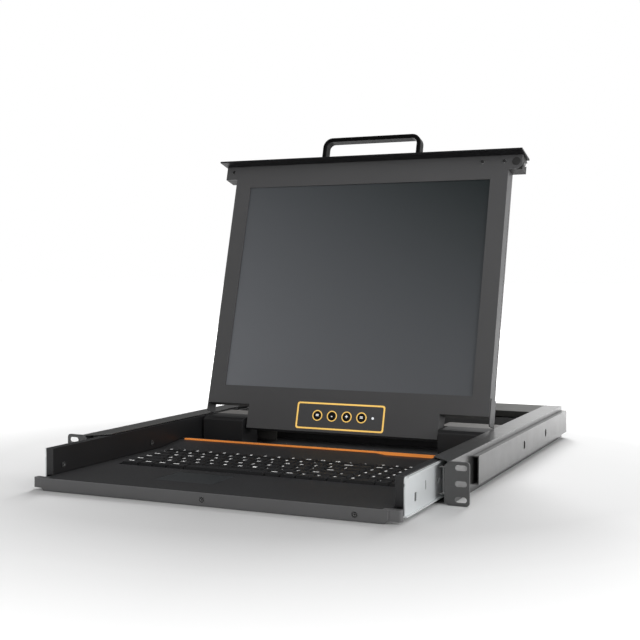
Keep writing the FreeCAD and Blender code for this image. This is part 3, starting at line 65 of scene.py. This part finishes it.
WHITE = (1.0, 1.0, 1.0)
NOISE_SPAN = (0.3, 0.7)       # levels between which most of a noise lies
EDGE_SPAN = (0.72, 0.995)     # cosine of the softened normal, from a sharp edge to a flat face
OPEN_SPAN = (0.3, 0.7)        # ambient occlusion, from deep in a slot to an open face
MIX_SOCKETS = {"FLOAT": (0, 2, 3, 0), "RGBA": (0, 6, 7, 2)}  # factor, first, second, result


def scaled(colour, factor):
    return tuple(part * factor for part in colour)


def brightened(colour, factor, lift):
    return tuple(min(1.0, part * factor + lift) for part in colour)


class Graph:
    """The node tree of a material or a world, with short calls for the nodes used here."""

    def __init__(self, name, kind="Material"):
        self.owner = (bpy.data.materials if kind == "Material" else bpy.data.worlds).new(name)
        self.owner.use_nodes = True
        self.tree = self.owner.node_tree
        self.tree.nodes.clear()
        self.output = self.tree.nodes.new("ShaderNodeOutput" + kind)

    def feed(self, node, key, entry):
        """Links a socket to an input, or sets a number or colour on the input itself."""
        socket = node.inputs[key]
        if isinstance(entry, bpy.types.NodeSocket):
            self.tree.links.new(entry, socket)
        elif socket.type == "RGBA" and len(entry) == 3:
            socket.default_value = (*entry, 1.0)
        else:
            socket.default_value = entry

    def add(self, kind, values=None, **settings):
        node = self.tree.nodes.new(kind)
        for key, setting in settings.items():
            setattr(node, key, setting)
        for key, entry in (values or {}).items():
            self.feed(node, key, entry)
        return node

    def place(self, stretch=(1, 1, 1)):
        """Positions on the part, stretched along each axis."""
        position = self.add("ShaderNodeTexCoord").outputs["Object"]
        return self.add("ShaderNodeMapping", {"Vector": position, "Scale": stretch}).outputs["Vector"]

    def noise(self, scale, detail=3.0, stretch=(1, 1, 1), roughness=0.55):
        """Noise with a feature size of about 1/scale."""
        values = {"Vector": self.place(stretch), "Scale": scale, "Detail": detail, "Roughness": roughness}
        return self.add("ShaderNodeTexNoise", values).outputs["Fac"]

    def mix(self, factor, first, second, kind="RGBA"):
        """A blend of two colours, or of two numbers when the kind is FLOAT."""
        node = self.add("ShaderNodeMix", data_type=kind)
        *inputs, result = MIX_SOCKETS[kind]
        for key, entry in zip(inputs, (factor, first, second)):
            self.feed(node, key, entry)
        return node.outputs[result]

    def ramp(self, factor, low, high, start=0.0, end=1.0):
        """A number or colour that goes from low to high as the factor goes from start to end."""
        spread = self.add("ShaderNodeMapRange", {"Value": factor, "From Min": start, "From Max": end})
        return self.mix(spread.outputs["Result"], low, high, "RGBA" if isinstance(low, tuple) else "FLOAT")

    def varied(self, noise, low, high):
        """A number or colour that follows a noise from low to high."""
        return self.ramp(noise, low, high, *NOISE_SPAN)

    def math(self, operation, first, second):
        return self.add("ShaderNodeMath", {0: first, 1: second}, operation=operation).outputs[0]

    def times(self, first, second):
        return self.math("MULTIPLY", first, second)

    def rounded(self, radius):
        """Normals that soften every edge by a small radius."""
        return self.add("ShaderNodeBevel", {"Radius": radius}, samples=4).outputs["Normal"]

    def edges(self, radius):
        """1 along sharp edges and 0 on flat faces; it masks the painted edge highlights."""
        normal = self.add("ShaderNodeNewGeometry").outputs["Normal"]
        dot = self.add("ShaderNodeVectorMath", {0: self.rounded(radius), 1: normal}, operation="DOT_PRODUCT")
        return self.ramp(dot.outputs["Value"], 1.0, 0.0, *EDGE_SPAN)

    def open_faces(self, reach):
        """1 on open faces and 0 deep inside slots and seams; it masks the painted shade in paint."""
        node = self.add("ShaderNodeAmbientOcclusion", {"Distance": reach}, samples=8)
        return self.ramp(node.outputs["AO"], 0.0, 1.0, *OPEN_SPAN)

    def bump(self, height, distance, strength, edge_radius=0.0):
        values = {"Height": height, "Distance": distance, "Strength": strength}
        if edge_radius:
            values["Normal"] = self.rounded(edge_radius)
        return self.add("ShaderNodeBump", values).outputs["Normal"]

    def finish(self, **values):
        """Puts the material on the principled shader with these inputs."""
        inputs = {key.replace("_", " "): entry for key, entry in values.items()}
        shader = self.add("ShaderNodeBsdfPrincipled", inputs)
        self.tree.links.new(shader.outputs[0], self.output.inputs[0])
        return self.owner


# ---------------------------------------------------------------- kinds of material

PAINTED_CREVICE_SHADE = 0.08          # share of a paint's colour that is left deep in a slot, as painted shade
PAINT_SPECULAR = 0.5
PAINT_HIGHLIGHT_SHARE = 0.7        # how far an edge takes on its painted highlight
PLASTIC_HIGHLIGHT_SHARE = 0.55
SCREEN_REFLECTION_PALE = (0.25, 0.26, 0.28)
SCREEN_DARK = (0.006, 0.012, 0.013)
SCREEN_SLOPE = (1.4, 2.2)     # how fast the painted reflection on the screen fades to the right and upwards
SCREEN_FALL = (-0.10, 1.02)   # sums of those slopes where it is palest and where it is darkest
TRACK_GREEN = (0.05, 0.22, 0.10)
BOARD_GREEN = (0.012, 0.09, 0.035)


def painted(name, colour, roughness=0.42, patches=0.12, edge=1.7, edge_radius=0.0009, peel=900.0, coat=0.0,
            crevice=0.0035, specular=None):
    """Painted sheet: orange-peel bump, faint patches, painted highlights on edges, painted shade in slots
    and seams.

    A paint with a specular level of its own keeps it in the slots too.
    """
    g = Graph(name)
    clouds = g.noise(scale=9.0, detail=4.0)
    body = g.varied(clouds, scaled(colour, 1 - patches), scaled(colour, 1 + patches))
    # painted highlight: sharp edges take on a brighter colour
    highlight_colour = brightened(colour, edge, lift=0.01)
    paint = g.mix(g.times(g.edges(edge_radius), PAINT_HIGHLIGHT_SHARE), body, highlight_colour)
    open_part = g.open_faces(crevice)
    # painted shade: the colour darkens deep in slots and seams
    paint = g.ramp(open_part, scaled(colour, PAINTED_CREVICE_SHADE), paint)
    normal = g.bump(g.noise(peel, detail=2.0), distance=0.00004, strength=0.35, edge_radius=0.0005)
    gloss = g.varied(g.noise(scale=45.0), roughness - 0.02, roughness + 0.03)
    return g.finish(Base_Color=paint, Roughness=gloss, Normal=normal, Coat_Roughness=0.2,
                    Coat_Weight=g.times(open_part, coat) if coat else 0.0,
                    Specular_IOR_Level=g.times(open_part, PAINT_SPECULAR) if specular is None else specular)


def zinc(name, colour, roughness, metallic=1.0):
    """Zinc-plated rolled steel: fine streaks along the strip, faint clouds and white edges as a painted
    highlight.
    """
    g = Graph(name)
    streaks = g.noise(scale=260.0, stretch=(1, 0.03, 1.6))
    base = g.varied(g.noise(scale=16.0, detail=4.0), scaled(colour, 0.92), colour)
    # painted highlight: white along sharp edges
    base = g.mix(g.edges(radius=0.0008), base, WHITE)
    gloss = g.ramp(streaks, roughness - 0.03, roughness + 0.06, start=0.35, end=0.65)
    normal = g.bump(streaks, distance=0.00001, strength=0.15, edge_radius=0.0004)
    return g.finish(Base_Color=base, Metallic=metallic, Roughness=gloss, Normal=normal)


def moulded(name, colour, roughness=0.55, grain=1400.0, depth=0.00005, edge=1.8, specular=0.4, glow=0.0):
    """Moulded plastic with a fine spark-eroded grain, edges a little paler as a painted highlight, and glow
    as painted light.
    """
    g = Graph(name)
    sparks = g.noise(grain, roughness=0.7)
    body = g.varied(g.noise(scale=14.0), scaled(colour, 0.9), scaled(colour, 1.1))
    # painted highlight: sharp edges take on a paler colour
    highlight_colour = brightened(colour, edge, lift=0.006)
    base = g.mix(g.times(g.edges(radius=0.0006), PLASTIC_HIGHLIGHT_SHARE), body, highlight_colour)
    gloss = g.varied(sparks, roughness - 0.08, roughness + 0.1)
    normal = g.bump(sparks, distance=depth, strength=0.5, edge_radius=0.0004)
    # a glow on a part that is no lamp is painted light
    return g.finish(Base_Color=base, Roughness=gloss, Normal=normal, Specular_IOR_Level=specular,
                    Emission_Color=base, Emission_Strength=glow)


def circuit(name):
    """Green solder mask with the faint pattern of copper under it."""
    g = Graph(name)
    values = {"Vector": g.place(), "Scale": 380.0, "Randomness": 0.2}
    tracks = g.add("ShaderNodeTexVoronoi", values, feature="DISTANCE_TO_EDGE").outputs["Distance"]
    base = g.ramp(tracks, TRACK_GREEN, BOARD_GREEN, start=0.02, end=0.10)
    return g.finish(Base_Color=base, Roughness=0.35, Normal=g.bump(tracks, distance=0.00005, strength=0.4))


def screen(name):
    """The anti-glare face of the screen, paler towards its lower left corner as a painted reflection."""
    g = Graph(name)
    position = g.add("ShaderNodeSeparateXYZ", {0: g.place()})
    across = g.times(position.outputs["X"], SCREEN_SLOPE[0])
    up = g.times(position.outputs["Z"], SCREEN_SLOPE[1])
    base = g.ramp(g.math("ADD", across, up), SCREEN_REFLECTION_PALE, SCREEN_DARK, *SCREEN_FALL)
    sparkle = g.noise(scale=2600.0, detail=2.0)
    return g.finish(Base_Color=base, Roughness=g.varied(sparkle, 0.34, 0.46), Specular_IOR_Level=0.35,
                    Normal=g.bump(sparkle, distance=0.00001, strength=0.3))


def glowing(name, light, strength, base):
    """A lamp's lens or a printed mark: a faint glow on a slightly mottled tint; a mark's glow is painted
    light.
    """
    g = Graph(name)
    tint = g.varied(g.noise(scale=700.0, detail=2.0), scaled(base, 0.85), base)
    normal = g.bump(g.noise(scale=1500.0, detail=2.0), distance=0.00002, strength=0.2)
    return g.finish(Base_Color=tint, Roughness=0.35, Normal=normal, Emission_Color=light,
                    Emission_Strength=strength)


# ---------------------------------------------------------------- materials of the part

# sheet metal
# edge sets the painted highlight along sharp edges
chassis_paint = painted("chassis_paint", (0.045, 0.045, 0.044), roughness=0.34, patches=0.04, edge=11.0,
                        edge_radius=0.0007, coat=0.8)
rear_paint = painted("rear_cover_paint", (0.050, 0.050, 0.046), patches=0.04, edge=1.8)
ear_paint = painted("ear_paint", (0.085, 0.085, 0.085), roughness=0.40, patches=0.05, edge=3.0,
                    edge_radius=0.0008)
bezel_paint = painted("bezel_paint", (0.098, 0.098, 0.100), roughness=0.48, patches=0.04, edge=1.6,
                      edge_radius=0.0007)
lip_paint = painted("lip_paint", (0.145, 0.145, 0.147), patches=0.05, edge=2.0)
tray_paint = painted("tray_paint", (0.016, 0.016, 0.017), roughness=0.40, patches=0.08, edge=8.0,
                     edge_radius=0.0008)
block_paint = painted("hinge_block_paint", (0.020, 0.020, 0.021), patches=0.08, edge=5.0)
cover_paint = painted("hinge_cover_paint", (0.13, 0.125, 0.12), roughness=0.40, patches=0.06, edge=1.6)
handle_paint = painted("handle_paint", (0.005, 0.005, 0.005), roughness=0.34, patches=0.1, edge=3.0,
                       edge_radius=0.0006, peel=500.0, specular=0.06)
fascia_paint = painted("fascia_paint", (0.008, 0.008, 0.009), roughness=0.40, patches=0.1, edge=2.6,
                       edge_radius=0.0007, specular=0.2)

# plated steel and screws
zinc_plate = zinc("zinc_plate", (0.88, 0.91, 0.92), roughness=0.42, metallic=0.2)
dull_zinc = zinc("dull_zinc", (0.20, 0.20, 0.20), roughness=0.42, metallic=0.6)
module_plate = zinc("module_plate", (0.42, 0.42, 0.42), roughness=0.38)
bolt_plate = zinc("bolt_plate", (0.78, 0.78, 0.78), roughness=0.30, metallic=0.6)
# black screws with a painted highlight ring round their rims
screw_plate = painted("screw_plate", (0.020, 0.020, 0.020), roughness=0.30, patches=0.05, edge=45.0,
                      edge_radius=0.0006, crevice=0.0005)

# plastic and rubber
# edge sets the painted highlight along sharp edges
panel_plastic = moulded("panel_plastic", (0.026, 0.026, 0.027), roughness=0.50)
pad_plastic = moulded("touchpad_plastic", (0.034, 0.038, 0.041), roughness=0.34, grain=2400.0, edge=6.0)
key_plastic = moulded("key_plastic", (0.011, 0.011, 0.012), roughness=0.52, grain=1700.0, edge=2.2)
# the orange trim and markings glow: painted light
orange_plastic = moulded("orange_plastic", (0.92, 0.30, 0.060), roughness=0.30, grain=900.0, depth=0.00002,
                         edge=1.15, specular=0.5, glow=0.35)
line_paint = moulded("orange_line_paint", (1.0, 0.62, 0.16), roughness=0.38, grain=900.0, depth=0.00002,
                     edge=1.2, glow=0.6)
block_plastic = moulded("end_block_plastic", (0.034, 0.034, 0.033), roughness=0.42, specular=0.12)
socket_plastic = moulded("socket_plastic", (0.018, 0.018, 0.018), roughness=0.42)
button_plastic = moulded("button_plastic", (0.006, 0.006, 0.006), roughness=0.22, grain=900.0, depth=0.00002)
lamp_dark = moulded("lamp_dark", (0.42, 0.44, 0.44), roughness=0.25)
bumper_rubber = moulded("bumper_rubber", (0.034, 0.034, 0.034), roughness=0.70, grain=600.0)

# electronics and print
board_green = circuit("board_green")
screen_face = screen("screen_face")
lamp_lens = glowing("lamp_lens", light=(0.9, 0.95, 1.0), strength=0.7, base=(0.80, 0.80, 0.80))
# printed marks glow: painted light
print_white = glowing("print_white", light=WHITE, strength=0.6, base=(0.88, 0.88, 0.86))

LOOKS = {
    chassis_paint: ["chassis_tray", "side_channel_left", "side_channel_right", "rear_panel"],
    rear_paint: ["rear_cover"],
    ear_paint: ["ear_left", "ear_right"],
    bezel_paint: ["lcd_bezel", "lcd_back_cover"],
    lip_paint: ["front_lip"],
    tray_paint: ["drawer_tray"],
    block_paint: ["hinge_block_left", "hinge_block_right"],
    cover_paint: ["hinge_cover_left", "hinge_cover_right"],
    handle_paint: ["handle"],
    fascia_paint: ["fascia_plate"],
    zinc_plate: ["drawer_slide_left", "drawer_slide_right"],
    dull_zinc: ["chassis_slide_left", "chassis_slide_right", "middle_slide_left", "middle_slide_right"],
    module_plate: ["lcd_module", "power_supply", "vga_port", "usb_port", "key_plate", "hinge_arm_left",
                   "hinge_arm_right"],
    bolt_plate: ["latch_bolt_left", "latch_bolt_right"],
    screw_plate: ["bezel_screws", "drawer_screws"],
    panel_plastic: ["keyboard_panel"],
    pad_plastic: ["touchpad"],
    key_plastic: ["function_keys", "number_keys", "top_letter_keys", "home_letter_keys", "lower_letter_keys",
                  "bottom_row_keys", "space_bar", "number_pad_keys"],
    orange_plastic: ["orange_trim"],
    line_paint: ["osd_markings"],
    block_plastic: ["end_block_left", "end_block_right"],
    socket_plastic: ["power_inlet"],
    button_plastic: ["osd_button_1", "osd_button_2", "osd_button_3", "osd_button_4"],
    bumper_rubber: ["bumper_disc"],
    board_green: ["interface_board", "keyboard_circuit", "lcd_driver_board", "osd_board"],
    screen_face: ["lcd_glass"],
    lamp_lens: ["power_led"],
}


def dress_nodes():
    """Gives every node of the part its material."""
    for look, names in LOOKS.items():
        for name in names:
            slots = NODES[name].material_slots
            if not slots:
                NODES[name].data.materials.append(look)
            for slot in slots:
                slot.material = look


dress_nodes()


# ---------------------------------------------------------------- printed marks and lamps

# One mark for each key of a node, from the front row to the back and from left to right.
LEGENDS = {
    "bottom_row_keys": "== == == == == == < v >",
    "lower_letter_keys": "== Z X C V B N M , . / == ^",
    "home_letter_keys": "== A S D F G H J K L ; ' ==",
    "top_letter_keys": "== Q W E R T Y U I O P [ ] |",
    "number_keys": "` 1 2 3 4 5 6 7 8 9 0 - = <==",
    "function_keys": "o 1 2 3 4 5 6 7 8 9 10 11 12 - -",
    "number_pad_keys": "0 . = 1 2 3 4 5 6 + 7 8 9 == / * - o o o o",
}
LEGEND_SIZE = 0.0062
LEGEND_BOLD = 0.00012
LEGEND_INSET = 0.0015
CAPITAL_HEIGHT = 0.7          # height of a capital as a share of the type size
OSD_MARKS = "=-+="
OSD_MARK_SIZE = 0.0072
OSD_MARK_BOLD = 0.0002
PRINT_THICKNESS = 0.00003
PRINT_LIFT = 0.00004
FLATNESS = 1e-5
ROW_DIGITS = 3                # keys of one row agree to the millimetre
LAMP_SIZE = Vector((0.0060, 0.0022, 0.0004))
LAMP_TOP = 0.84               # size of a lamp's top as a share of its foot
LAMP_PITCH = 0.0125
LAMP_GAP = 0.0045


def key_tops(name):
    """The near left and far right corner of the top of each key of a node, and the height of the tops."""
    mesh = NODES[name].data
    height = max(vertex.co.z for vertex in mesh.vertices)
    tops = []
    for polygon in mesh.polygons:
        points = [mesh.vertices[index].co for index in polygon.vertices]
        if min(point.z for point in points) < height - FLATNESS:
            continue
        low = Vector((min(point.x for point in points), min(point.y for point in points)))
        high = Vector((max(point.x for point in points), max(point.y for point in points)))
        for top in tops:
            if low.x < top[1].x and high.x > top[0].x and low.y < top[1].y and high.y > top[0].y:
                top[0] = Vector((min(low.x, top[0].x), min(low.y, top[0].y)))
                top[1] = Vector((max(high.x, top[1].x), max(high.y, top[1].y)))
                break
        else:
            tops.append([low, high])
    return sorted(tops, key=lambda top: (round(top[0].y, ROW_DIGITS), top[0].x)), height


def printed(name, text, size, bold, body):
    """A printed mark that moves with a body."""
    curve = bpy.data.curves.new(name, "FONT")
    curve.body = text
    curve.size = size
    curve.offset = bold
    curve.extrude = PRINT_THICKNESS
    curve.resolution_u = 2
    curve.materials.append(print_white)
    mark = bpy.data.objects.new(name, curve)
    bpy.context.scene.collection.objects.link(mark)
    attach(mark, body)
    return mark


def print_key_legends():
    """A mark in the far left corner of each key."""
    drop = LEGEND_INSET + CAPITAL_HEIGHT * LEGEND_SIZE
    for name, marks in LEGENDS.items():
        tops, height = key_tops(name)
        for index, ((low, high), text) in enumerate(zip(tops, marks.split())):
            mark = printed(f"{name}_legend_{index}", text, LEGEND_SIZE, LEGEND_BOLD, name)
            mark.location = (low.x + LEGEND_INSET, high.y - drop, height + PRINT_LIFT)


def print_osd_marks():
    """A mark on the face of each screen button, square to the way the button moves."""
    for index, text in enumerate(OSD_MARKS, 1):
        name = f"osd_button_{index}"
        out = -Vector(JOINTS[name + "_press"]["axis"])
        corners = [vertex.co for vertex in NODES[name].data.vertices]
        middle = sum(corners, Vector()) / len(corners)
        reach = max(corner.dot(out) for corner in corners) - middle.dot(out)
        mark = printed(name + "_mark", text, OSD_MARK_SIZE, OSD_MARK_BOLD, name)
        mark.data.align_x = "CENTER"
        mark.data.align_y = "CENTER"
        mark.location = middle + out * (reach + PRINT_LIFT)
        mark.rotation_euler.x = math.pi / 2 - math.atan2(out.z, -out.y)


def fit_indicator_lamps():
    """Three small lamps on the keyboard panel behind the number pad."""
    pad_low, pad_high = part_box("number_pad_keys")
    y = pad_high[1] + LAMP_GAP
    for index in range(3):
        x = (pad_low[0] + pad_high[0]) / 2 + (index - 1) * LAMP_PITCH
        above = Vector((x, y, CAD_BOX[1][2]))
        _, spot, _, _ = NODES["keyboard_panel"].ray_cast(above, Vector((0, 0, -1)))
        mesh = bpy.data.meshes.new(f"indicator_lamp_{index + 1}")
        shape = bmesh.new()
        bmesh.ops.create_cone(shape, cap_ends=True, segments=24, radius1=0.5, radius2=0.5 * LAMP_TOP,
                              depth=1.0)
        bmesh.ops.scale(shape, vec=LAMP_SIZE, verts=shape.verts)
        shape.to_mesh(mesh)
        shape.free()
        mesh.materials.append(lamp_dark)
        lamp = bpy.data.objects.new(mesh.name, mesh)
        lamp.location = (x, y, spot.z + LAMP_SIZE.z / 2)
        bpy.context.scene.collection.objects.link(lamp)
        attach(lamp, "drawer")


print_key_legends()
print_osd_marks()
fit_indicator_lamps()


# ---------------------------------------------------------------- stage, lights and camera

FLOOR_HALF = 60.0
FLOOR_DROP = 0.0002
FLOOR_GREY = ((0.78, 0.78, 0.78), (0.80, 0.80, 0.80))
FLOOR_GLOW = 0.04             # glow of the floor under the part, kept low as painted shade; it is white far away
FLOOR_SWEEP = (0.42, 1.2)     # distances from the part between which the painted shade fades and the floor turns white
STUDIO_LEVEL = 0.27           # light of the room on the part
STUDIO_DIM = 0.10             # how bright the left half of the room is in reflections
STUDIO_TURN = (-0.30, -0.22)  # sideways part of a direction where the dim half ends
CAMERA_PLACE = (0.5478, -1.25861, 0.22343)
CAMERA_ANGLES = (24.13, 2.08, 0.13)  # turned to the left, looking down, rolled
CAMERA_LENS = 62.03           # in millimetres, as is the sensor
CAMERA_SENSOR = 36.0
CAMERA_REACH = 200.0


def make_floor():
    """Pale paper that keeps the shadow, has painted shade near the part and turns white away from it."""
    mesh = bpy.data.meshes.new("floor")
    corners = [(-1, -1), (1, -1), (1, 1), (-1, 1)]
    mesh.from_pydata([(FLOOR_HALF * x, FLOOR_HALF * y, 0) for x, y in corners], [], [(0, 1, 2, 3)])
    floor = bpy.data.objects.new("floor", mesh)
    floor.location.z = CAD_BOX[0][2] - FLOOR_DROP
    g = Graph("floor_paper")
    rays = g.add("ShaderNodeLightPath").outputs
    seen = g.math("MAXIMUM", rays["Is Camera Ray"], rays["Is Glossy Ray"])
    seen = g.math("MAXIMUM", seen, rays["Is Transmission Ray"])
    matt = g.add("ShaderNodeBsdfDiffuse", {"Color": g.varied(g.noise(scale=3.0), *FLOOR_GREY)})
    distance = g.add("ShaderNodeVectorMath", {0: g.place()}, operation="LENGTH").outputs["Value"]
    # painted shade: the floor glows less near the part
    sweep = g.ramp(distance, FLOOR_GLOW, 1.0, *FLOOR_SWEEP)
    glow = g.add("ShaderNodeEmission", {"Color": WHITE, "Strength": g.times(seen, sweep)})
    both = g.add("ShaderNodeAddShader", {0: matt.outputs[0], 1: glow.outputs[0]})
    g.tree.links.new(both.outputs[0], g.output.inputs[0])
    mesh.materials.append(g.owner)
    bpy.context.scene.collection.objects.link(floor)


def make_world():
    """A white studio; in reflections its left half is dim, like a dark screen beside the camera."""
    g = Graph("studio", "World")
    bpy.context.scene.world = g.owner
    rays = g.add("ShaderNodeLightPath").outputs
    direction = g.add("ShaderNodeSeparateXYZ", {0: g.add("ShaderNodeTexCoord").outputs["Generated"]})
    side = g.ramp(direction.outputs["X"], STUDIO_DIM, 1.0, *STUDIO_TURN)
    reflected = g.ramp(rays["Is Glossy Ray"], STUDIO_LEVEL, side)
    seen = g.math("MAXIMUM", rays["Is Camera Ray"], rays["Is Transmission Ray"])
    level = g.ramp(seen, reflected, 1.0)
    backdrop = g.add("ShaderNodeBackground", {"Color": WHITE, "Strength": level})
    g.tree.links.new(backdrop.outputs[0], g.output.inputs[0])


def make_softbox(name, place, target, size, power):
    """A large lamp that lights the part but doesn't show in reflections."""
    lamp = bpy.data.lights.new(name, "AREA")
    lamp.shape = "RECTANGLE"
    lamp.size, lamp.size_y = size
    lamp.energy = power
    light = bpy.data.objects.new(name, lamp)
    light.visible_glossy = False
    turn = (Vector(target) - Vector(place)).to_track_quat("-Z", "Y").to_matrix().to_4x4()
    light.matrix_world = Matrix.Translation(place) @ turn
    bpy.context.scene.collection.objects.link(light)


def make_camera():
    """The camera stands low, ahead and to the right, looking a little down."""
    yaw, pitch, roll = (math.radians(angle) for angle in CAMERA_ANGLES)
    right = Vector((math.cos(yaw), math.sin(yaw), 0))
    level = Vector((-math.sin(yaw), math.cos(yaw), 0))
    ahead = level * math.cos(pitch) - Vector((0, 0, 1)) * math.sin(pitch)
    above = Vector((0, 0, 1)) * math.cos(pitch) + level * math.sin(pitch)
    across = right * math.cos(roll) + above * math.sin(roll)
    top = above * math.cos(roll) - right * math.sin(roll)
    lens = bpy.data.cameras.new("camera")
    lens.sensor_width = CAMERA_SENSOR
    lens.lens = CAMERA_LENS
    lens.clip_end = CAMERA_REACH
    camera = bpy.data.objects.new("camera", lens)
    turn = Matrix((across, top, -ahead)).transposed().to_4x4()
    camera.matrix_world = Matrix.Translation(CAMERA_PLACE) @ turn
    bpy.context.scene.collection.objects.link(camera)
    bpy.context.scene.camera = camera


make_floor()
make_world()
make_softbox("back_softbox", place=(-0.5, 3.0, 2.2), target=(0.0, 0.0, 0.1), size=(2.2, 1.6), power=175.0)
make_softbox("side_softbox", place=(2.8, -0.5, 0.9), target=(0.2, -0.1, 0.1), size=(1.8, 1.6), power=30.0)
make_softbox("front_softbox", place=(0.7, -3.2, 1.5), target=(0.0, 0.0, 0.2), size=(2.0, 2.0), power=17.0)
make_camera()
bpy.context.scene.view_settings.view_transform = "Standard"
